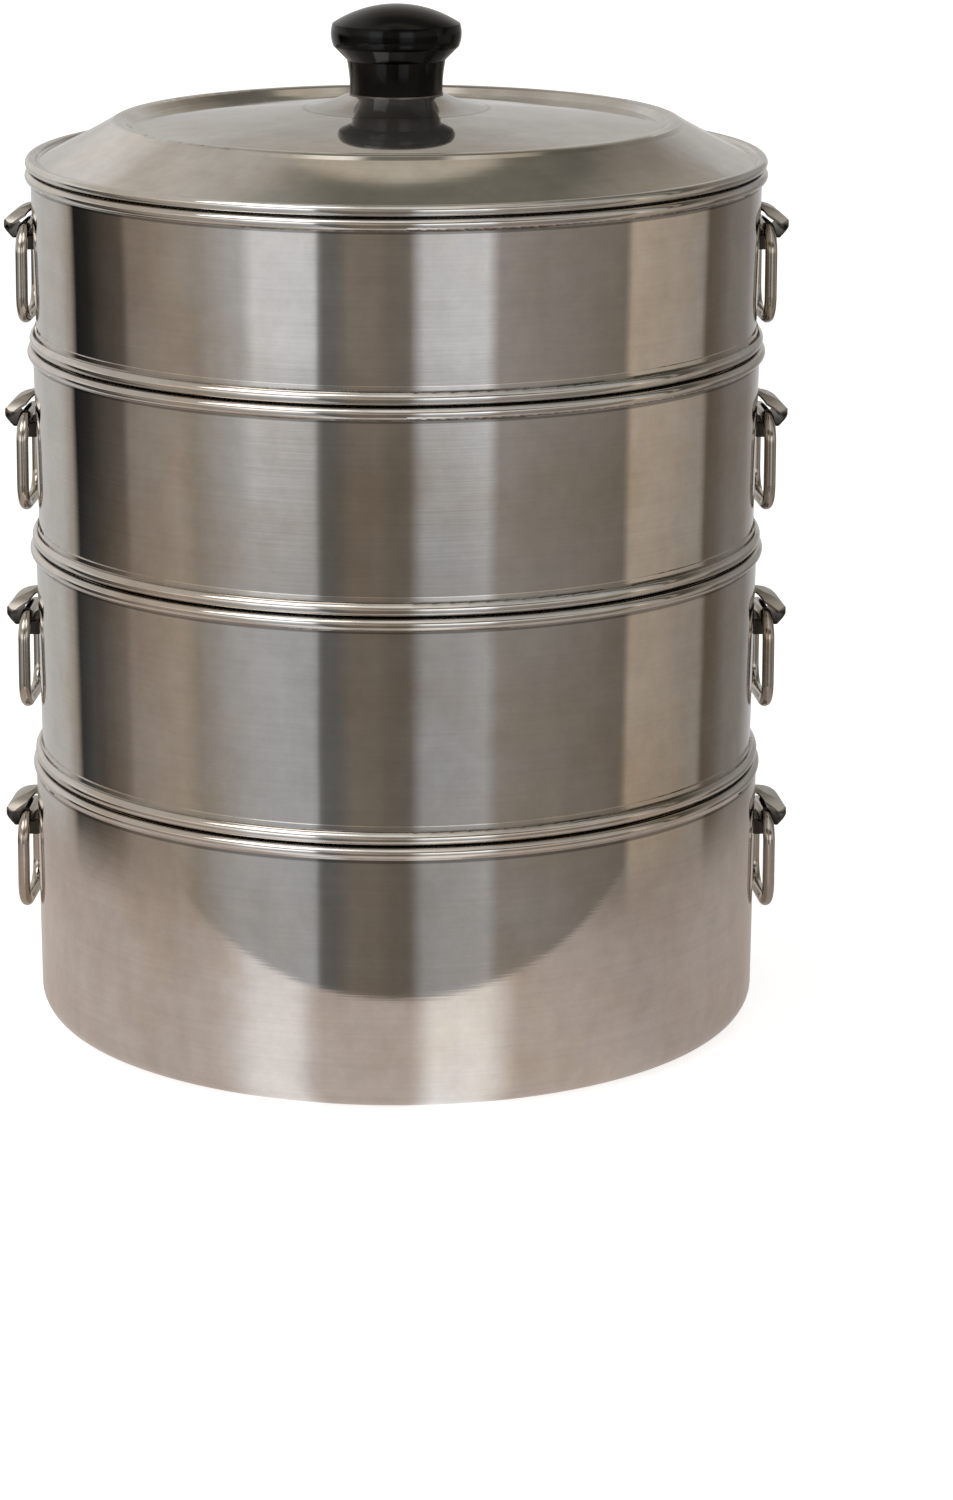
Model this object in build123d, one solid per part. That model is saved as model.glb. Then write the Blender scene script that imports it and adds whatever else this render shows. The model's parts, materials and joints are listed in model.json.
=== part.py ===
from build123d import *
import os
from math import sqrt

# Stainless steel steamer: a base pot, three steaming tiers that nest in each other, and a lid.
# Every level carries two wire loops that swing in folded brackets.
# Lengths are in millimetres. The origin is the centre of the pot's underside and +Z is up.
# The front is -Y, and left and right are as seen from the front.

# Sheet steel and the clearances between pieces
sheet = 0.7
seat_gap = 0.5
nest_gap = 0.6
weld_gap = 0.05
pin_gap = 0.6
overrun = 10.0

# Levels, each measured from rim top to rim top
base_height = 107.8
tier_1_pitch = 91.0
tier_2_pitch = 82.2
tier_3_pitch = 72.6

# Rolled rim at the top of every level, and the walls below it
rim_radius = 151.5
rim_curl = 2.4
rim_overhang = 2.3
tier_draft = 1.5
base_rim_overhang = 1.1
base_draft = 1.3
base_corner = 10.5

# Perforated floor of a tier, with the bead that sits on the rim below
seam_bead = 2.8
seam_overhang = 2.8
seam_lip_height = 2.0
seam_lip_sheet = 0.6
nest_depth = 15.0
nest_corner = 4.0
hole_radius = 5.0
hole_pitch = 27.0
hole_rings = 4
holes_per_ring = 6

# Lid, with widths that follow each other inward from the rim and heights above the centre of its curl
lid_rim_inset = 0.2
lid_curl = 2.3
lid_foot_width = 5.9
lid_foot_height = 0.9
lid_shoulder_width = 27.4
lid_shoulder_hollow = 0.5
ridge_outer_width = 4.6
ridge_outer_drop = 3.0
ridge_height = 17.9
ridge_rounding = 5.0
ridge_inner_width = 6.1
disc_edge_height = 14.0
disc_crown = 0.6
boss_foot_radius = 38.0
boss_foot_height = 20.7
boss_hollow = 0.7
boss_radius = 20.0
boss_height = 26.4
locating_depth = 9.0

# Knob, its cap and its screw
knob_stem_radius = 18.8
knob_stem_flare = 1.3
knob_stem_height = 13.5
knob_flare_radius = 25.6
knob_flare_height = 19.0
knob_band_radius = 26.6
knob_band_height = 24.6
knob_edge_radius = 26.0
knob_edge_height = 28.1
knob_cap_height = 7.8
knob_cap_spigot_radius = 18.0
knob_cap_spigot_depth = 3.0
knob_washer_radius = 19.1
knob_washer_sheet = 0.6
screw_radius = 3.0
screw_length = 20.0
screw_head_radius = 5.5
screw_head_height = 3.4
screw_washer_radius = 9.0
screw_washer_sheet = 1.0
screw_gap = 0.2

# Wire loops and their brackets, with reaches and heights that count from the hinge line
handle_azimuth = 5.0
loop_wire = 2.5
loop_width = 38.0
loop_height = 37.2
loop_corner = 10.0
base_hinge_drop = 30.1
base_hinge_standoff = 5.3
tier_1_hinge_drop = 34.3
tier_1_hinge_standoff = 5.1
tier_2_hinge_drop = 32.3
tier_2_hinge_standoff = 4.5
tier_3_hinge_drop = 26.2
tier_3_hinge_standoff = 3.6
bracket_sheet = 0.8
bracket_reach = 8.6
bracket_root_rise = 12.8
bracket_rise = 8.4
bracket_arch_rise = 9.6
bracket_arch_radius = 16.0
bracket_brow_reach = 4.6
bracket_brow_rise = 6.4
bracket_tip_rise = 1.6
bracket_tip_rounding = 1.1
bracket_chin_reach = 4.3
bracket_neck_reach = 3.2
bracket_neck_width = 11.0
bracket_waist_reach = 0.5
bracket_waist_width = 21.0
bracket_cheek_reach = 4.5
bracket_width = 26.8
bracket_nose_rounding = 3.5
bracket_tab = 6.0

# Sizes that follow from the ones above
rim_centre_radius = rim_radius - rim_curl
wall_top_radius = rim_radius - rim_overhang
tier_foot_radius = wall_top_radius - tier_draft
base_wall_radius = rim_radius - base_rim_overhang
base_foot_radius = base_wall_radius - base_draft
seam_radius = tier_foot_radius + seam_overhang - seam_bead
nest_radius = rim_centre_radius - rim_curl - nest_gap
seam_step = sqrt((rim_curl + seam_bead + seat_gap) ** 2 - (rim_centre_radius - seam_radius) ** 2)
lid_rim_radius = rim_radius - lid_rim_inset
lid_rim_centre = lid_rim_radius - lid_curl
lid_foot_radius = lid_rim_radius - lid_foot_width
ridge_foot_radius = lid_foot_radius - lid_shoulder_width
ridge_radius = ridge_foot_radius - ridge_outer_width
disc_radius = ridge_radius - ridge_inner_width
lid_step = sqrt((rim_curl + lid_curl + seat_gap) ** 2 - (rim_centre_radius - lid_rim_centre) ** 2)

base_top = base_height
tier_1_top = base_top + tier_1_pitch
tier_2_top = tier_1_top + tier_2_pitch
tier_3_top = tier_2_top + tier_3_pitch
lid_rim_z = tier_3_top - rim_curl + lid_step
knob_z = lid_rim_z + boss_height + weld_gap + knob_washer_sheet + weld_gap
lip_drop = loop_wire + pin_gap + bracket_sheet


def spun(section):
    """Solid made by turning a section, drawn in radius and height, about the vertical axis."""
    return revolve(Plane.XZ * section, Axis.Z)


def rolled_rim(top):
    """Section of the rolled rim whose highest point is at the given height."""
    return Pos(rim_centre_radius, top - rim_curl) * Circle(rim_curl)


def drafted_wall(foot_radius, foot, top):
    """Section of a sheet wall that widens from its foot up to the rolled rim."""
    rim_z = top - rim_curl
    return make_face(
        Polyline(
            (foot_radius - sheet, foot),
            (foot_radius, foot),
            (wall_top_radius, rim_z),
            (wall_top_radius - sheet, rim_z),
            close=True,
        )
    )


def base_pot():
    """Deep drawn pot with a flat bottom, a rounded corner and a rolled rim."""
    rim_z = base_top - rim_curl
    section = make_face(
        FilletPolyline(
            (0, 0),
            (base_foot_radius, 0),
            (base_wall_radius, rim_z),
            (base_wall_radius - sheet, rim_z),
            (base_foot_radius - sheet, sheet),
            (0, sheet),
            radius=(0, base_corner, 0, 0, base_corner - sheet, 0),
            close=True,
        )
    )
    return spun(section + rolled_rim(base_top))


def seam_height(rim_below):
    """Height of the centre of a tier's bead over the top of the rim that it sits on."""
    return rim_below - rim_curl + seam_step


def tier_foot(rim_below):
    """Height at which a tier's wall starts, on top of its bead."""
    return seam_height(rim_below) + seam_bead + weld_gap


def tier_wall(rim_below, top):
    """Open sheet cylinder of a tier, with its rolled rim."""
    return spun(drafted_wall(tier_foot_radius, tier_foot(rim_below), top) + rolled_rim(top))


def tier_floor(rim_below):
    """Perforated floor with a skirt that nests in the level below, and a bead and lip round it."""
    seam_z = seam_height(rim_below)
    floor_z = seam_z - nest_depth
    pan = make_face(
        FilletPolyline(
            (0, floor_z),
            (nest_radius, floor_z),
            (nest_radius, seam_z),
            (nest_radius - sheet, seam_z),
            (nest_radius - sheet, floor_z + sheet),
            (0, floor_z + sheet),
            radius=(0, nest_corner, 0, 0, nest_corner - sheet, 0),
            close=True,
        )
    )
    bead = Pos(seam_radius, seam_z) * Circle(seam_bead)
    lip_height = seam_bead + seam_lip_height
    lip_centre = tier_foot_radius + weld_gap + seam_lip_sheet / 2
    lip = Pos(lip_centre, seam_z + lip_height / 2) * Rectangle(seam_lip_sheet, lip_height)
    lip -= Pos(lip_centre, seam_z) * Rectangle(seam_lip_sheet, seam_bead)
    floor = spun(pan + bead + lip)
    holes = [Pos(0, 0, floor_z) * Cylinder(hole_radius, overrun)]
    for ring in range(1, hole_rings + 1):
        places = PolarLocations(ring * hole_pitch, ring * holes_per_ring)
        holes += [Pos(0, 0, floor_z) * place * Cylinder(hole_radius, overrun) for place in places]
    return floor - holes


def lid_top():
    """Top line of the lid, from its screw hole out to its rolled rim."""
    hole = screw_radius + screw_gap
    flank_middle = (boss_radius + boss_foot_radius) / 2
    flank_height = (boss_height + boss_foot_height) / 2 - boss_hollow
    disc_middle = (boss_foot_radius + disc_radius) / 2
    disc_height = (boss_foot_height + disc_edge_height) / 2 + disc_crown
    ridge_foot_height = ridge_height - ridge_outer_drop
    shoulder_middle = (ridge_foot_radius + lid_foot_radius) / 2
    shoulder_height = (ridge_foot_height + lid_foot_height) / 2 - lid_shoulder_hollow
    return (
        Line((hole, boss_height), (boss_radius, boss_height))
        + ThreePointArc(
            (boss_radius, boss_height),
            (flank_middle, flank_height),
            (boss_foot_radius, boss_foot_height),
        )
        + ThreePointArc(
            (boss_foot_radius, boss_foot_height),
            (disc_middle, disc_height),
            (disc_radius, disc_edge_height),
        )
        + FilletPolyline(
            (disc_radius, disc_edge_height),
            (ridge_radius, ridge_height),
            (ridge_foot_radius, ridge_foot_height),
            radius=ridge_rounding,
        )
        + ThreePointArc(
            (ridge_foot_radius, ridge_foot_height),
            (shoulder_middle, shoulder_height),
            (lid_foot_radius, lid_foot_height),
        )
        + Line((lid_foot_radius, lid_foot_height), (lid_rim_centre, lid_foot_height))
    )


def lid_shell():
    """Pressed lid: rolled rim, sloping shoulder, raised ridge, shallow disc and a boss."""
    top = lid_top()
    under = Pos(0, -sheet) * top
    section = make_face(
        top
        + Line(top @ 1, under @ 1)
        + under
        + Line(under @ 0, top @ 0)
    )
    section += Pos(lid_rim_centre, 0) * Circle(lid_curl)
    return Pos(0, 0, lid_rim_z) * spun(section)


def lid_locating_ring():
    """Band under the lid that keeps it centred in the top tier's rim."""
    height = locating_depth
    top = lid_rim_z + lid_foot_height - sheet - weld_gap
    band = Rectangle(sheet, height, align=(Align.MAX, Align.MAX))
    return spun(Pos(nest_radius, top) * band)


def knob():
    """Turned knob with a waisted stem, a flared underside and a rounded band."""
    stem_top = knob_stem_radius + knob_stem_flare
    side = (
        ThreePointArc(
            (knob_stem_radius, 0),
            (knob_stem_radius + knob_stem_flare / 4, knob_stem_height / 2),
            (stem_top, knob_stem_height),
        )
        + Line((stem_top, knob_stem_height), (knob_flare_radius, knob_flare_height))
        + ThreePointArc(
            (knob_flare_radius, knob_flare_height),
            (knob_band_radius, knob_band_height),
            (knob_edge_radius, knob_edge_height),
        )
    )
    section = make_face(
        side
        + Polyline((knob_edge_radius, knob_edge_height), (0, knob_edge_height), (0, 0))
        + Line((0, 0), (knob_stem_radius, 0))
    )
    body = Pos(0, 0, knob_z) * spun(section)
    socket_depth = knob_cap_spigot_depth + weld_gap
    socket = Cylinder(
        knob_cap_spigot_radius + weld_gap,
        socket_depth,
        align=(Align.CENTER, Align.CENTER, Align.MAX),
    )
    bore = Cylinder(
        screw_radius + screw_gap,
        screw_length + screw_gap,
        align=(Align.CENTER, Align.CENTER, Align.MIN),
    )
    return body - Pos(0, 0, knob_z + knob_edge_height) * socket - Pos(0, 0, knob_z) * bore


def knob_cap():
    """Domed cap that plugs the top of the knob."""
    radius = knob_edge_radius
    height = knob_cap_height
    dome_radius = (radius**2 + height**2) / (2 * height)
    middle_radius = radius / 2
    middle_height = height - dome_radius + sqrt(dome_radius**2 - middle_radius**2)
    dome = make_face(
        ThreePointArc((radius, 0), (middle_radius, middle_height), (0, height))
        + Polyline((0, height), (0, 0), (radius, 0))
    )
    spigot = Cylinder(
        knob_cap_spigot_radius,
        knob_cap_spigot_depth,
        align=(Align.CENTER, Align.CENTER, Align.MAX),
    )
    return Pos(0, 0, knob_z + knob_edge_height + weld_gap) * (spun(dome) + spigot)


def washer(radius, thickness, height):
    """Flat ring round the knob's screw, with its underside at the given height."""
    ring = Circle(radius) - Circle(screw_radius + screw_gap)
    return Pos(0, 0, height) * extrude(ring, thickness)


def knob_washer():
    """Thin plate between the knob and the lid's boss."""
    return washer(knob_washer_radius, knob_washer_sheet, lid_rim_z + boss_height + weld_gap)


def screw_washer():
    """Washer under the lid's boss."""
    under = lid_rim_z + boss_height - sheet - weld_gap
    return washer(screw_washer_radius, screw_washer_sheet, under - screw_washer_sheet)


def knob_screw():
    """Screw that comes up through the lid into the knob."""
    seat = lid_rim_z + boss_height - sheet - weld_gap - screw_washer_sheet - weld_gap
    head = Cylinder(
        screw_head_radius,
        screw_head_height,
        align=(Align.CENTER, Align.CENTER, Align.MAX),
    )
    head = fillet(head.faces().sort_by(Axis.Z)[0].edges(), screw_head_height / 2)
    shank_length = knob_z + screw_length - seat
    shank = Cylinder(screw_radius, shank_length, align=(Align.CENTER, Align.CENTER, Align.MIN))
    return Pos(0, 0, seat) * (head + shank)


def loop(hinge_radius, hinge_z):
    """Wire loop hanging straight down from its hinge line, out along +X."""
    path = Plane.YZ * Pos(0, -loop_height / 2) * RectangleRounded(loop_width, loop_height, loop_corner)
    wire = path.wire()
    start = Plane(origin=wire @ 0, z_dir=wire % 0)
    return Pos(hinge_radius, 0, hinge_z) * sweep(start * Circle(loop_wire), wire)


def bracket_plan():
    """Outline of a bracket seen from above, in distance out from the hinge line and in width."""
    half_neck = bracket_neck_width / 2
    half_nose = bracket_width / 2
    near = [
        (-overrun, half_neck),
        (-bracket_neck_reach, half_neck),
        (-bracket_waist_reach, bracket_waist_width / 2),
        (bracket_cheek_reach, half_nose),
        (bracket_reach, half_nose),
    ]
    far = [(reach, -width) for reach, width in reversed(near)]
    rounding = [0, bracket_sheet, bracket_sheet, bracket_sheet, bracket_nose_rounding]
    return make_face(FilletPolyline(*near, *far, radius=rounding + rounding[::-1], close=True))


def bracket_side():
    """Solid outline of a bracket from the side, in distance out and height from the hinge line."""
    brow_end = bracket_tip_rise + bracket_tip_rounding
    crown = Line((-overrun, bracket_root_rise), (0, bracket_rise))
    brow = ThreePointArc(
        (0, bracket_rise),
        (bracket_brow_reach, bracket_brow_rise),
        (bracket_reach, brow_end),
    )
    chin = FilletPolyline(
        (bracket_reach, brow_end),
        (bracket_reach, bracket_tip_rise - bracket_tip_rounding),
        (bracket_chin_reach, -lip_drop),
        (-overrun, -lip_drop),
        radius=(bracket_tip_rounding, bracket_tip_rounding),
    )
    back = Line((-overrun, -lip_drop), (-overrun, bracket_root_rise))
    outline = make_face(crown + brow + chin + back)
    tip = outline.vertices().group_by(Axis.X)[-1].sort_by(Axis.Y)[-1]
    return fillet(tip, bracket_tip_rounding)


def arched(outline, inset):
    """Block of a side outline under the bracket's arch, which is inset by one sheet or by none."""
    block = extrude(Plane.XZ * outline, bracket_width, both=True)
    barrel = Rot(0, 90, 0) * Cylinder(bracket_arch_radius - inset, rim_radius)
    return block & Pos(0, 0, bracket_arch_rise - bracket_arch_radius) * barrel


def bracket_strap():
    """Strap of a bracket round its hinge line: arched hood, turned tip, lip and tab."""
    outline = bracket_side()
    hollow = offset(outline, -bracket_sheet, kind=Kind.INTERSECTION)
    strap = arched(outline, 0) - arched(hollow, bracket_sheet)
    tab = Pos(-overrun, 0, -lip_drop) * Box(
        overrun + bracket_sheet,
        bracket_neck_width,
        bracket_tab,
        align=(Align.MIN, Align.CENTER, Align.MAX),
    )
    return (strap & extrude(bracket_plan(), bracket_width, both=True)) + tab


def bracket(hinge_radius, hinge_z, wall):
    """Bracket at its hinge line, cut to the wall that it is welded to."""
    return Pos(hinge_radius, 0, hinge_z) * bracket_strap() - wall


def wall_block(wall):
    """Solid that fills a level's wall, to shape what is welded to it."""
    foot_radius, foot, top_radius, top = wall
    section = make_face(
        Polyline(
            (0, foot),
            (foot_radius + weld_gap, foot),
            (top_radius + weld_gap, top),
            (0, top),
            close=True,
        )
    )
    return spun(section)


def wall_radius(wall, height):
    """Outer radius of a level's wall at the given height."""
    foot_radius, foot, top_radius, top = wall
    share = (height - foot) / (top - foot)
    return foot_radius + share * (top_radius - foot_radius)


def handles(level, wall, hinge_z, hinge_standoff):
    """Brackets and loops of one level, left and right, by name."""
    hinge_radius = wall_radius(wall, hinge_z) + hinge_standoff
    strap = bracket(hinge_radius, hinge_z, wall_block(wall))
    wire_loop = loop(hinge_radius, hinge_z)
    sides = {"right": handle_azimuth, "left": 180 - handle_azimuth}
    pieces = {}
    for side, azimuth in sides.items():
        pieces[f"{level}_{side}_bracket"] = Rot(0, 0, azimuth) * strap
        pieces[f"{level}_{side}_loop"] = Rot(0, 0, azimuth) * wire_loop
    return pieces


def assembly():
    """Every piece of the steamer by name."""
    base_wall = (base_foot_radius, 0, base_wall_radius, base_top - rim_curl)
    pieces = {"base_pot": base_pot()}
    pieces |= handles("base", base_wall, base_top - base_hinge_drop, base_hinge_standoff)
    tiers = [
        ("tier_1", base_top, tier_1_top, tier_1_hinge_drop, tier_1_hinge_standoff),
        ("tier_2", tier_1_top, tier_2_top, tier_2_hinge_drop, tier_2_hinge_standoff),
        ("tier_3", tier_2_top, tier_3_top, tier_3_hinge_drop, tier_3_hinge_standoff),
    ]
    for level, rim_below, top, hinge_drop, hinge_standoff in tiers:
        wall = (tier_foot_radius, tier_foot(rim_below), wall_top_radius, top - rim_curl)
        pieces[f"{level}_wall"] = tier_wall(rim_below, top)
        pieces[f"{level}_floor"] = tier_floor(rim_below)
        pieces |= handles(level, wall, top - hinge_drop, hinge_standoff)
    pieces["lid_shell"] = lid_shell()
    pieces["lid_locating_ring"] = lid_locating_ring()
    pieces["knob"] = knob()
    pieces["knob_cap"] = knob_cap()
    pieces["knob_washer"] = knob_washer()
    pieces["knob_screw"] = knob_screw()
    pieces["screw_washer"] = screw_washer()
    return pieces


os.makedirs("parts", exist_ok=True)
for name, piece in assembly().items():
    export_step(piece, f"parts/{name}.step")
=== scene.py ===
import json
import math

import bpy
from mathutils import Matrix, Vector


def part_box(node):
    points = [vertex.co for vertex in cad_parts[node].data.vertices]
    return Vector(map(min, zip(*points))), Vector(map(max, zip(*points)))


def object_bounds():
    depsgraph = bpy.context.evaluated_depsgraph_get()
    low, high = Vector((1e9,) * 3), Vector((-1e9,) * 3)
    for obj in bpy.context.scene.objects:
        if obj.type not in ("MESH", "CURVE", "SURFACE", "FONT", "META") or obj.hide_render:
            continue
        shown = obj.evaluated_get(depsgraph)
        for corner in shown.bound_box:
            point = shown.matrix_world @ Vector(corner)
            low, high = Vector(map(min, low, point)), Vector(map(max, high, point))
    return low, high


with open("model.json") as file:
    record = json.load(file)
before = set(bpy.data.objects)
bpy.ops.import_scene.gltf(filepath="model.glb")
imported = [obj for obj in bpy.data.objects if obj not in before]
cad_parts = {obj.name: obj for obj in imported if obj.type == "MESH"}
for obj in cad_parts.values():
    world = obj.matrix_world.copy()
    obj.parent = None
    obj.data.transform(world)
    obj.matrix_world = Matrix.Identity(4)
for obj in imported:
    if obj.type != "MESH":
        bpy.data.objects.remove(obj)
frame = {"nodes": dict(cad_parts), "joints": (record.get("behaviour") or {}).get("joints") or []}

cad_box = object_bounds()
scene = bpy.context.scene
white = (1.0, 1.0, 1.0)

# Camera, in metres and degrees, with the picture's size and the pixel that it looks straight at
picture_width = 953
picture_height = 1500
aim_x = 396.3
aim_y = 450.0
focal_pixels = 4531.0
sensor_width = 36.0
camera_distance = 1.8377
camera_height = 0.6034
camera_pitch = 11.34
camera_sight = 50.0

# Soft lamp high on the left, between the camera and the object
key_place = (-1.2, -1.0, 2.2)
key_size = 1.4
key_power = 14.0

# Floor that the camera sees
floor_half = 6.0
floor_paint = (0.90, 0.90, 0.90)
floor_glow = 0.70

# Table top that the steel reflects, which glows with painted light: round in front, painted as lit up to a
# reach from the object, dimmer farther off and with painted shade on the right
table_half = 0.60
table_sink = 0.0005
table_round_radius = 0.75
table_round_y = 0.467
table_edge_softness = 0.004
table_reach = (0.32, 0.46)
table_fade = (0.20, 0.50)
table_near = (0.60, 0.53, 0.49)
table_far = (0.44, 0.385, 0.345)
table_shade_side = (25.0, 65.0, 130.0, 175.0)
table_shade = 0.22

# Painted glare of the windows on the table, by the azimuth at which the pot's wall shows it, and its colour
painted_window_glare = {
    "left window": ((-62, -42, -33, -22), (0.37, 0.41, 0.45)),
    "right window": ((3, 13, 26, 40), (0.46, 0.52, 0.56)),
}
wall_radius = 0.1504

# Heights of the levels' rims and of the hinge lines of their handles
rim_tops = [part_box(node)[1].z for node in ("base_pot", "tier_1_wall", "tier_2_wall", "tier_3_wall")]
hinge_heights = sorted({joint["pos_m"][2] for joint in frame["joints"] if joint["type"] == "hinge"})

# Rolled rims, beads and the lid's curl: height of the middle over the rim's top, radius and roll
rim_roll = (-0.0024, 0.1491, 0.0024)
bead_roll = (0.00312, 0.1477, 0.0028)
lid_roll = (0.0028, 0.1490, 0.0023)
roll_tolerance = (-0.0005, -0.00035, 0.00035, 0.0005)

# Painted shade in the crevice at each rim, in a line under its curl and in a line over the bead: height over
# the rim's top, half its height and how dark it is
rim_painted_shade = ((0.0003, 0.0003, 0.50), (-0.0054, 0.0005, 0.50))
bead_painted_shade = (0.0061, 0.0003, 0.30)

# Band of painted shade at each hinge line, where the brackets fold under: heights over the line
fold_shade_band = (-0.014, -0.012, 0.0012, 0.0028)

# Lid's disc: where its extra slope runs, and the darker boss with the painted shade in the crease at its foot
disc_reach = (0.039, 0.103)
boss_edge = 0.002
boss_share = 0.86
crease_reach = (0.0368, 0.0374, 0.0382, 0.0392)
crease_shade = 0.30
blotch_noise = (13.0, 4.0, 0.55)
blotch_shade = (0.36, 0.64, 1.08, 0.86)

# Grades of steel. Grain and smudge are what the level lines and the patches add to the roughness. Waves is
# the depth of the sheet's waviness in metres, and dome the extra slope of the lid's disc. Under shade is the
# share of the colour left by painted shade where the metal faces down or folds under; haze is the dull film's
# share.
steel_grades = {
    "wall_steel": {"colour": (0.715, 0.68, 0.645), "roughness": 0.03, "smudge": 0.045, "waves": 0.0003},
    "floor_steel": {"colour": (0.73, 0.70, 0.665), "roughness": 0.06, "smudge": 0.05, "waves": 0.0002},
    "lid_steel": {
        "colour": (0.75, 0.73, 0.70), "roughness": 0.04, "smudge": 0.05, "waves": 0.0003,
        "grain": 0.02, "dome": 0.085, "haze": 0.06,
    },
    "wire_steel": {"colour": (0.56, 0.52, 0.47), "roughness": 0.12, "smudge": 0.06},
    "strap_steel": {"colour": (0.46, 0.425, 0.385), "roughness": 0.28, "smudge": 0.08, "hollow": 0.22},
    "fitting_steel": {"colour": (0.22, 0.20, 0.18), "roughness": 0.20, "smudge": 0.08},
}

# Noises over the steel: scale, detail, roughness and stretch
steel_noises = {
    "lines": (1.0, 3.0, 0.65, (16.0, 16.0, 800.0)),
    "streaks": (1.0, 3.0, 0.6, (14.0, 14.0, 330.0)),
    "runs": (1.0, 3.0, 0.6, (55.0, 55.0, 6.0)),
    "patches": (17.0, 5.0, 0.62),
    "stains": (75.0, 6.0, 0.7),
    "waves": (11.0, 1.0),
    "dents": (42.0, 2.0),
}

# How noises shade the steel: two levels of the noise, and the share of the colour that is left at each
steel_shades = {
    "stains": (0.36, 0.68, 1.0, 0.89),
    "lines": (0.3, 0.7, 1.02, 0.965),
    "streaks": (0.3, 0.7, 1.01, 0.975),
    "runs": (0.35, 0.7, 1.02, 0.94),
    "patches": (0.3, 0.7, 1.05, 0.92),
}
dull_patches = (0.35, 0.7)
warm_patches = (0.45, 0.65)
warm_shares = (1.01, 0.955, 0.89)
dent_share = 1 / 12
# Heights of the normal over which the painted shade on down-facing bracket metal sets in
under_facing = (-0.5, -0.05)
line_depth = 0.00002
line_strength = 0.35
steel_anisotropy = 0.35

# Black plastic of the knob
knob_paint = (0.0006, 0.0006, 0.0007)
knob_gloss = 0.19
scuff_noise = (260.0, 6.0, 0.7)
scuff_roughness = (0.35, 0.7, 0.09, 0.15)
scuff_depth = 0.00004
scuff_strength = 0.3

# Studio round the object: panels by azimuth, in degrees from the camera's side towards the right.
# Each has its two edges and its colour at each edge, and the gap to the next panel is its soft edge.
studio_panels = {
    "rear left screen": (-180, -134, (0.60, 0.60, 0.60), (0.58, 0.58, 0.56)),
    "left jamb": (-130, -124.5, (0.54, 0.52, 0.49), (0.38, 0.34, 0.30)),
    "left doorway": (-121, -112, (0.015, 0.015, 0.015), (0.03, 0.03, 0.028)),
    "left curtain": (-109, -95, (0.055, 0.05, 0.042), (0.13, 0.11, 0.095)),
    "left wall": (-92.5, -72, (0.28, 0.24, 0.21), (0.385, 0.34, 0.29)),
    "left reveal": (-65, -50, (0.38, 0.345, 0.305), (0.52, 0.52, 0.52)),
    "left window": (-45, -25.6, (0.84, 0.85, 0.87), (0.80, 0.83, 0.87)),
    "left mullion": (-23.6, -18, (0.175, 0.18, 0.175), (0.18, 0.175, 0.165)),
    "camera side": (-14, -6, (0.25, 0.215, 0.18), (0.24, 0.205, 0.17)),
    "right mullion": (-2, 4, (0.195, 0.175, 0.145), (0.195, 0.175, 0.15)),
    "right window": (8.5, 28, (0.68, 0.70, 0.73), (0.82, 0.84, 0.87)),
    "right wall": (32, 76.5, (0.36, 0.335, 0.31), (0.225, 0.20, 0.17)),
    "warm screen": (79, 112, (0.55, 0.465, 0.375), (0.375, 0.34, 0.30)),
    "rear right wall": (115.5, 122, (0.135, 0.11, 0.085), (0.155, 0.13, 0.11)),
    "rear right screen": (130, 147, (0.215, 0.20, 0.18), (0.265, 0.245, 0.225)),
    "rear screen": (172, 180, (0.60, 0.60, 0.60), (0.60, 0.60, 0.60)),
}

# Share of each panel's light that is left near the table, where any changes, and the heights of direction
# between which that sets in
low_shares = {
    "left doorway": 3.0,
    "left curtain": 1.7,
    "left wall": 1.12,
    "left reveal": 0.90,
    "left window": 0.57,
    "left mullion": 0.82,
    "camera side": 0.82,
    "right mullion": 0.85,
    "right window": 0.56,
    "right wall": 0.88,
    "warm screen": 0.88,
}
low_heights = (-0.270, -0.200)

# Higher up the panels are brighter
high_heights = (-0.06, 0.10)
high_gain = 2.1

# The studio overhead, in degrees up from the rear horizon, over the top and down to the camera's side
overhead_panels = {
    "rear screen": (-180, 20, (0.60, 0.60, 0.585), (0.54, 0.53, 0.51)),
    "rear ceiling": (32, 44, (0.42, 0.385, 0.34), (0.32, 0.29, 0.25)),
    "dark beam": (51, 61.5, (0.17, 0.16, 0.13), (0.165, 0.155, 0.125)),
    "pale beam": (64, 69, (0.56, 0.50, 0.41), (0.52, 0.47, 0.385)),
    "dark coving": (71, 78, (0.17, 0.16, 0.135), (0.20, 0.19, 0.16)),
    "softbox": (84, 132, (0.60, 0.59, 0.56), (0.95, 0.94, 0.91)),
    "camera ceiling": (142, 180, (0.24, 0.21, 0.18), (0.18, 0.16, 0.14)),
}

# Its left side is one plain wall that darkens upwards, and its right side is dimmer
overhead_left_low = (0.75, 0.72, 0.69)
overhead_left_high = (0.55, 0.515, 0.47)
overhead_left_climb = (25.0, 42.0)
overhead_left_side = (-0.33, -0.08)
overhead_right_side = (0.24, 0.38)
overhead_right_share = 0.62

# Two skylights: their span overhead, and each one's span across and its colour
skylight_over = (68.0, 71.0, 78.0, 81.0)
skylights = {
    "left skylight": ((-0.31, -0.24, -0.13, -0.06), (1.12, 1.09, 1.03)),
    "right skylight": ((0.10, 0.16, 0.26, 0.34), (0.72, 0.68, 0.62)),
}

# The walls give way to the ceiling between these heights of direction, and higher on the camera's side
ceiling_heights = (-0.10, 0.05)
front_depth = (-0.35, 0.0)
front_height = 0.36


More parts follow.
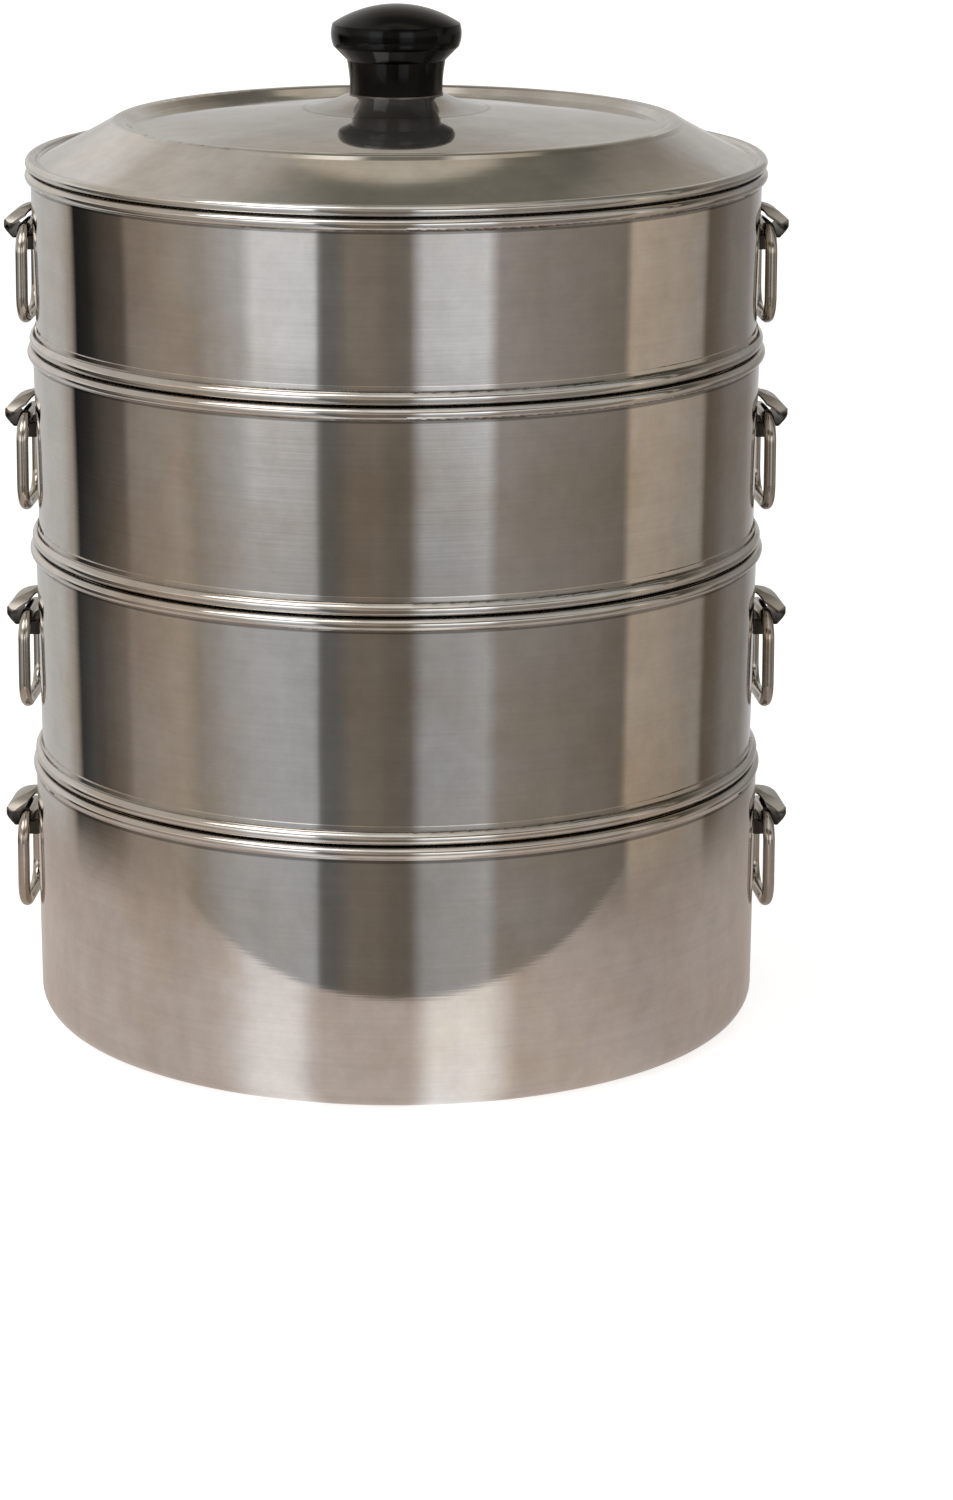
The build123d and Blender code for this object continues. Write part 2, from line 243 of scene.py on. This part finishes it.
def add_node(tree, kind, inputs=None, **settings):
    """Shader node with its settings, and with each named input linked or set to a value."""
    made = tree.nodes.new(kind)
    for name, value in settings.items():
        setattr(made, name, value)
    for name, value in (inputs or {}).items():
        if isinstance(value, bpy.types.NodeSocket):
            tree.links.new(value, made.inputs[name])
        else:
            made.inputs[name].default_value = value
    return made


def math_node(tree, operation, first, second=0.0):
    """Output of a math node."""
    return add_node(tree, "ShaderNodeMath", {0: first, 1: second}, operation=operation).outputs[0]


def product(tree, first, *others):
    """Output that is all the values multiplied."""
    for other in others:
        first = math_node(tree, "MULTIPLY", first, other)
    return first


def share_left(tree, mask, dark):
    """Output that is 1 outside a mask, and less by the dark part inside it."""
    return math_node(tree, "SUBTRACT", 1.0, math_node(tree, "MULTIPLY", mask, dark))


def vector_node(tree, operation, first, second=(0.0, 0.0, 0.0)):
    """Output of a vector math node."""
    made = add_node(tree, "ShaderNodeVectorMath", {0: first, 1: second}, operation=operation)
    return made.outputs["Value" if operation in ("LENGTH", "DISTANCE") else "Vector"]


def parts_of(tree, vector):
    """The three parts of a vector."""
    return add_node(tree, "ShaderNodeSeparateXYZ", {"Vector": vector}).outputs


def azimuth_of(tree, x, y):
    """Azimuth in degrees, from the camera's side towards the right."""
    return math_node(tree, "DEGREES", math_node(tree, "ARCTAN2", x, math_node(tree, "MULTIPLY", y, -1.0)))


def axis_distance(tree, x, y):
    """Distance from the object's upright axis."""
    return math_node(tree, "SQRT", math_node(tree, "ADD", product(tree, x, x), product(tree, y, y)))


def opaque(colour):
    """Colour with full alpha, or the socket that gives the colour."""
    return colour if isinstance(colour, bpy.types.NodeSocket) else (*colour, 1.0)


def mix_colours(tree, factor, first, second, blend="MIX"):
    """Output of a colour mix."""
    made = add_node(
        tree, "ShaderNodeMix", {"Factor": factor, 6: opaque(first), 7: opaque(second)}, data_type="RGBA")
    made.blend_type = blend
    return made.outputs[2]


def shaded(tree, colour, share):
    """Colour multiplied by the share of it that is left."""
    return mix_colours(tree, 1.0, colour, share, "MULTIPLY")


def spread(tree, value, start, end, first, last, easing="LINEAR"):
    """Output that goes from the first value to the last as the input goes from start to end."""
    made = add_node(
        tree, "ShaderNodeMapRange",
        {"Value": value, "From Min": start, "From Max": end, "To Min": first, "To Max": last},
        interpolation_type=easing,
    )
    return made.outputs["Result"]


def smooth_step(tree, value, start, end, first=0.0, last=1.0):
    """Output that eases from the first value to the last as the input goes from start to end."""
    return spread(tree, value, start, end, first, last, "SMOOTHSTEP")


def plateau(tree, value, edges):
    """Output that is 1 between the two inner edges, 0 outside the outer ones and eases between."""
    rise = smooth_step(tree, value, edges[0], edges[1])
    fall = smooth_step(tree, value, edges[2], edges[3], 1.0, 0.0)
    return product(tree, rise, fall)


def noise(tree, position, scale, detail, roughness=0.5, stretch=(1.0, 1.0, 1.0)):
    """Output of a noise over the position, which is stretched first."""
    place = add_node(tree, "ShaderNodeMapping", {"Vector": position, "Scale": stretch}).outputs[0]
    made = add_node(
        tree, "ShaderNodeTexNoise",
        {"Vector": place, "Scale": scale, "Detail": detail, "Roughness": roughness},
    )
    return made.outputs["Fac"]


def panel_ramp(tree, angle, panels, shares):
    """Colour by angle, in degrees from -180 to 180, from a table of panels and the share of each."""
    turn = math_node(tree, "ADD", math_node(tree, "DIVIDE", angle, 360.0), 0.5)
    ramp = add_node(tree, "ShaderNodeValToRGB", {"Fac": turn})
    stops = []
    for name, (start, end, first, last) in panels.items():
        share = shares.get(name, 1.0)
        stops += [(start, [part * share for part in first]), (end, [part * share for part in last])]
    elements = ramp.color_ramp.elements
    while len(elements) < len(stops):
        elements.new(1.0)
    for element, (degrees, colour) in zip(elements, stops):
        element.position = degrees / 360 + 0.5
        element.color = opaque(colour)
    return ramp.outputs["Color"]


def studio_walls(tree, azimuth, z):
    """Colour of the studio round the object."""
    panels = mix_colours(
        tree, smooth_step(tree, z, *low_heights),
        panel_ramp(tree, azimuth, studio_panels, low_shares),
        panel_ramp(tree, azimuth, studio_panels, {}),
    )
    return shaded(tree, panels, smooth_step(tree, z, *high_heights, 1.0, high_gain))


def studio_ceiling(tree, over, x):
    """Colour of the studio overhead."""
    climb = smooth_step(tree, over, *overhead_left_climb)
    left = mix_colours(tree, climb, overhead_left_low, overhead_left_high)
    on_left = smooth_step(tree, x, *overhead_left_side, 1.0, 0.0)
    seen = mix_colours(tree, on_left, panel_ramp(tree, over, overhead_panels, {}), left)
    seen = shaded(tree, seen, smooth_step(tree, x, *overhead_right_side, 1.0, overhead_right_share))
    for across, colour in skylights.values():
        inside = product(tree, plateau(tree, x, across), plateau(tree, over, skylight_over))
        seen = mix_colours(tree, inside, seen, colour)
    return seen


def studio_world():
    """White backdrop for the camera, and a studio of panels for whatever the steel reflects."""
    world = bpy.data.worlds.new("studio")
    scene.world = world
    world.use_nodes = True
    tree = world.node_tree
    tree.nodes.clear()
    x, y, z = parts_of(tree, add_node(tree, "ShaderNodeTexCoord").outputs["Generated"])
    over = math_node(tree, "DEGREES", math_node(tree, "ARCTAN2", z, y))
    front = smooth_step(tree, y, *front_depth, front_height, 0.0)
    upward = smooth_step(tree, math_node(tree, "SUBTRACT", z, front), *ceiling_heights)
    walls = studio_walls(tree, azimuth_of(tree, x, y), z)
    seen = mix_colours(tree, upward, walls, studio_ceiling(tree, over, x))
    to_eye = add_node(tree, "ShaderNodeLightPath").outputs["Is Camera Ray"]
    colour = mix_colours(tree, to_eye, seen, white)
    shader = add_node(tree, "ShaderNodeBackground", {"Color": colour, "Strength": 1.0})
    add_node(tree, "ShaderNodeOutputWorld", {"Surface": shader.outputs[0]})


def new_material(name):
    """Material with an empty node tree."""
    material = bpy.data.materials.new(name)
    material.use_nodes = True
    material.node_tree.nodes.clear()
    return material


def stage_square(name, half, z, material):
    """Level square round the origin."""
    corners = [(-half, -half, z), (half, -half, z), (half, half, z), (-half, half, z)]
    mesh = bpy.data.meshes.new(name)
    mesh.from_pydata(corners, [], [(0, 1, 2, 3)])
    mesh.materials.append(material)
    plane = bpy.data.objects.new(name, mesh)
    scene.collection.objects.link(plane)
    return plane


def floor():
    """Plain pale floor, which the steel doesn't reflect."""
    material = new_material("floor_white")
    tree = material.node_tree
    paint = add_node(tree, "ShaderNodeBsdfDiffuse", {"Color": opaque(floor_paint)})
    to_eye = add_node(tree, "ShaderNodeLightPath").outputs["Is Camera Ray"]
    glow = add_node(
        tree, "ShaderNodeEmission",
        {"Color": opaque(white), "Strength": math_node(tree, "MULTIPLY", to_eye, floor_glow)},
    )
    both = add_node(tree, "ShaderNodeAddShader", {0: paint.outputs[0], 1: glow.outputs[0]})
    add_node(tree, "ShaderNodeOutputMaterial", {"Surface": both.outputs[0]})
    stage_square("floor", floor_half, 0.0, material).visible_glossy = False


def table_painted_glow(tree, position, reach):
    """Painted light of the table top: a glow that dims away from the object, painted shade on the right and
    the windows' painted glare.
    """
    x, y, _ = parts_of(tree, position)
    azimuth = azimuth_of(tree, x, y)
    paint = mix_colours(tree, smooth_step(tree, reach, *table_fade), table_near, table_far)
    # Painted shade on the table's right side
    paint = shaded(tree, paint, share_left(tree, plateau(tree, azimuth, table_shade_side), table_shade))
    bend = math_node(tree, "SUBTRACT", 2.0, math_node(tree, "DIVIDE", wall_radius, reach))
    mirrored = product(tree, math_node(tree, "DIVIDE", azimuth, bend), 2.0)
    # Painted glare of the windows, added onto the glow
    for edges, glow in painted_window_glare.values():
        paint = mix_colours(tree, 1.0, paint, shaded(tree, glow, plateau(tree, mirrored, edges)), "ADD")
    return paint


def table():
    """Table top that shows only in the steel, and glows with painted light."""
    material = new_material("table_top")
    tree = material.node_tree
    position = add_node(tree, "ShaderNodeNewGeometry").outputs["Position"]
    reach = vector_node(tree, "LENGTH", position)
    from_round = vector_node(tree, "DISTANCE", position, (0.0, table_round_y, 0.0))
    edge = (table_round_radius - table_edge_softness, table_round_radius + table_edge_softness)
    in_round = smooth_step(tree, from_round, *edge, 1.0, 0.0)
    there = product(tree, in_round, smooth_step(tree, reach, *table_reach, 1.0, 0.0))
    # The table glows with its painted light; no lamp lights it
    shine = add_node(
        tree, "ShaderNodeEmission", {"Color": table_painted_glow(tree, position, reach), "Strength": 1.0})
    clear = add_node(tree, "ShaderNodeBsdfTransparent")
    both = add_node(tree, "ShaderNodeMixShader", {0: there, 1: clear.outputs[0], 2: shine.outputs[0]})
    add_node(tree, "ShaderNodeOutputMaterial", {"Surface": both.outputs[0]})
    top = stage_square("table_top", table_half, -table_sink, material)
    top.visible_camera = False
    top.visible_diffuse = False
    top.visible_shadow = False


def camera():
    """Camera at the photograph's place, with its frame shifted as the photograph's is."""
    data = bpy.data.cameras.new("camera")
    data.sensor_width = sensor_width
    data.lens = focal_pixels / picture_height * sensor_width
    data.shift_x = (picture_width / 2 - aim_x) / picture_height
    data.shift_y = (aim_y - picture_height / 2) / picture_height
    data.clip_end = camera_sight
    eye = bpy.data.objects.new("camera", data)
    eye.location = (0.0, -camera_distance, camera_height)
    eye.rotation_euler = (math.radians(90.0 - camera_pitch), 0.0, 0.0)
    scene.collection.objects.link(eye)
    scene.camera = eye


def key_lamp():
    """Soft square lamp that faces the object's middle."""
    data = bpy.data.lights.new("key", "AREA")
    data.size = key_size
    data.energy = key_power
    lamp = bpy.data.objects.new("key", data)
    lamp.location = key_place
    low, high = cad_box
    aim = (low + high) / 2 - lamp.location
    lamp.rotation_euler = aim.to_track_quat("-Z", "Y").to_euler()
    scene.collection.objects.link(lamp)


def painted_seam_shade(tree, z):
    """Share of the steel's colour that is left by painted shade in the crevices at the rims and beads."""
    shares = []
    for rim_top in rim_tops:
        for lift, reach, dark in rim_painted_shade if rim_top == rim_tops[-1] else (*rim_painted_shade, bead_painted_shade):
            middle = rim_top + lift
            edges = (middle - 2 * reach, middle - reach, middle + reach, middle + 2 * reach)
            shares.append(share_left(tree, plateau(tree, z, edges), dark))
    return product(tree, *shares)


def painted_fold_shade(tree, z, hollow):
    """Share of the colour that is left by painted shade at the handles' hinge lines, where the brackets fold
    under.
    """
    folded = 0.0
    for hinge_height in hinge_heights:
        band = [hinge_height + lift for lift in fold_shade_band]
        folded = math_node(tree, "ADD", folded, plateau(tree, z, band))
    return smooth_step(tree, folded, 0.0, 1.0, 1.0, hollow)


def nearest_roll(tree, z):
    """Height, radius and roll of the rolled rim, bead or curl that is nearest to a height."""
    rolls = []
    for rim_top in rim_tops:
        for lift, radius, roll in (rim_roll, lid_roll if rim_top == rim_tops[-1] else bead_roll):
            rolls.append((rim_top + lift, radius, roll))
    nearest = rolls[0]
    for below, above in zip(rolls, rolls[1:]):
        border = (below[0] + below[2] + above[0] - above[2]) / 2
        passed = math_node(tree, "GREATER_THAN", z, border)
        nearest = [
            math_node(tree, "ADD", value, product(tree, passed, new - old))
            for value, old, new in zip(nearest, below, above)
        ]
    return nearest


def rolled_normal(tree, axes, normal):
    """Normal that is exact on the rolled rims, the beads and the lid's curl, and the given one elsewhere."""
    x, y, z = axes
    middle, radius, roll = nearest_roll(tree, z)
    reach = axis_distance(tree, x, y)
    share = math_node(tree, "DIVIDE", math_node(tree, "SUBTRACT", reach, radius), reach)
    lift = math_node(tree, "SUBTRACT", z, middle)
    outward = add_node(
        tree, "ShaderNodeCombineXYZ", {"X": product(tree, x, share), "Y": product(tree, y, share), "Z": lift}
    ).outputs[0]
    away = math_node(tree, "SUBTRACT", vector_node(tree, "LENGTH", outward), roll)
    exact = vector_node(tree, "NORMALIZE", outward)
    mixed = add_node(
        tree, "ShaderNodeMix", {"Factor": plateau(tree, away, roll_tolerance), 4: normal, 5: exact},
        data_type="VECTOR",
    )
    return vector_node(tree, "NORMALIZE", mixed.outputs[1])


def steel_roughness(tree, noises, roughness, smudge, grain):
    """Roughness that is higher on dull patches and wanders along the level lines."""
    dull = spread(tree, noises["patches"], *dull_patches, roughness, roughness + smudge)
    uneven = product(tree, math_node(tree, "SUBTRACT", noises["lines"], 0.5), grain)
    return math_node(tree, "ADD", dull, uneven)


def steel_colour(tree, noises, colour, shares):
    """Colour that is warmer on dull patches, and darker by every noise and every share."""
    warm = [part * share for part, share in zip(colour, warm_shares)]
    tint = mix_colours(tree, spread(tree, noises["patches"], *warm_patches, 0.0, 1.0), colour, warm)
    shades = [spread(tree, noises[name], *levels) for name, levels in steel_shades.items()]
    return shaded(tree, tint, product(tree, *shades, *shares))


def lid_shares(tree, position, reach):
    """Shares of the colour that are left at the lid's blotches, on its darker boss and by painted shade in
    the crease round that.
    """
    return [
        spread(tree, noise(tree, position, *blotch_noise), *blotch_shade),
        smooth_step(tree, reach, disc_reach[0] - boss_edge, disc_reach[0], boss_share, 1.0),
        # Painted shade in the crease at the boss's foot
        share_left(tree, plateau(tree, reach, crease_reach), crease_shade),
    ]


def disc_slope(tree, reach, dome):
    """Depth below the lid's middle that its disc's extra slope gives."""
    within = math_node(tree, "MAXIMUM", math_node(tree, "MINIMUM", reach, disc_reach[1]), disc_reach[0])
    return product(tree, within, dome)


def steel(name, colour, roughness, smudge, waves=0.0, grain=0.03, dome=0.0, hollow=1.0, haze=0.0):
    """Rolled stainless steel: level grain, patchy polish, smudges, painted shade in the seams and under the
    brackets' folds, and a waviness.
    """
    material = new_material(name)
    tree = material.node_tree
    position = add_node(tree, "ShaderNodeTexCoord").outputs["Object"]
    x, y, z = parts_of(tree, position)
    noises = {layer: noise(tree, position, *shape) for layer, shape in steel_noises.items()}
    facing = add_node(tree, "ShaderNodeNewGeometry").outputs["Normal"]
    dents = product(tree, noises["dents"], waves * dent_share)
    height = math_node(tree, "ADD", product(tree, noises["waves"], waves), dents)
    # Painted shade in the seams at the rims and beads
    shares = [painted_seam_shade(tree, z)]
    if hollow < 1.0:
        # Painted shade where the brackets face down and where they fold under
        upward = parts_of(tree, facing)[2]
        shares += [smooth_step(tree, upward, *under_facing, hollow, 1.0), painted_fold_shade(tree, z, hollow)]
    else:
        facing = rolled_normal(tree, (x, y, z), facing)
    if dome:
        reach = axis_distance(tree, x, y)
        shares += lid_shares(tree, position, reach)
        height = math_node(tree, "SUBTRACT", height, disc_slope(tree, reach, dome))
    waved = add_node(
        tree, "ShaderNodeBump", {"Height": height, "Strength": 1.0, "Distance": 1.0, "Normal": facing})
    grained = add_node(tree, "ShaderNodeBump", {
        "Height": noises["lines"], "Strength": line_strength, "Distance": line_depth,
        "Normal": waved.outputs[0],
    })
    shader = add_node(tree, "ShaderNodeBsdfPrincipled", {
        "Base Color": steel_colour(tree, noises, colour, shares),
        "Metallic": 1.0 - haze,
        "Roughness": steel_roughness(tree, noises, roughness, smudge, grain),
        "Anisotropic": steel_anisotropy,
        "Tangent": add_node(tree, "ShaderNodeTangent", direction_type="RADIAL", axis="Z").outputs[0],
        "Normal": grained.outputs[0],
    })
    add_node(tree, "ShaderNodeOutputMaterial", {"Surface": shader.outputs[0]})
    return material


def black_plastic():
    """Moulded black knob: satin, a little orange peel and fine scuffs."""
    material = new_material("knob_black")
    tree = material.node_tree
    scuffs = noise(tree, add_node(tree, "ShaderNodeTexCoord").outputs["Object"], *scuff_noise)
    bump = add_node(
        tree, "ShaderNodeBump", {"Height": scuffs, "Strength": scuff_strength, "Distance": scuff_depth})
    shader = add_node(tree, "ShaderNodeBsdfPrincipled", {
        "Base Color": opaque(knob_paint),
        "Specular IOR Level": knob_gloss,
        "Roughness": spread(tree, scuffs, *scuff_roughness),
        "Normal": bump.outputs[0],
    })
    add_node(tree, "ShaderNodeOutputMaterial", {"Surface": shader.outputs[0]})
    return material


def material_name(node):
    """Name of the material that a CAD node is made of."""
    if node in ("knob", "knob_cap"):
        return "knob_black"
    if node.startswith(("knob", "screw")):
        return "fitting_steel"
    if node.startswith("lid"):
        return "lid_steel"
    if node.endswith("_loop"):
        return "wire_steel"
    if node.endswith("_bracket"):
        return "strap_steel"
    if node.endswith("_floor"):
        return "floor_steel"
    return "wall_steel"


def dress():
    """Gives every CAD node its material."""
    materials = {name: steel(name, **grade) for name, grade in steel_grades.items()}
    materials["knob_black"] = black_plastic()
    for node, piece in frame["nodes"].items():
        piece.data.materials.clear()
        piece.data.materials.append(materials[material_name(node)])


scene.view_settings.view_transform = "Standard"
studio_world()
floor()
table()
camera()
key_lamp()
dress()
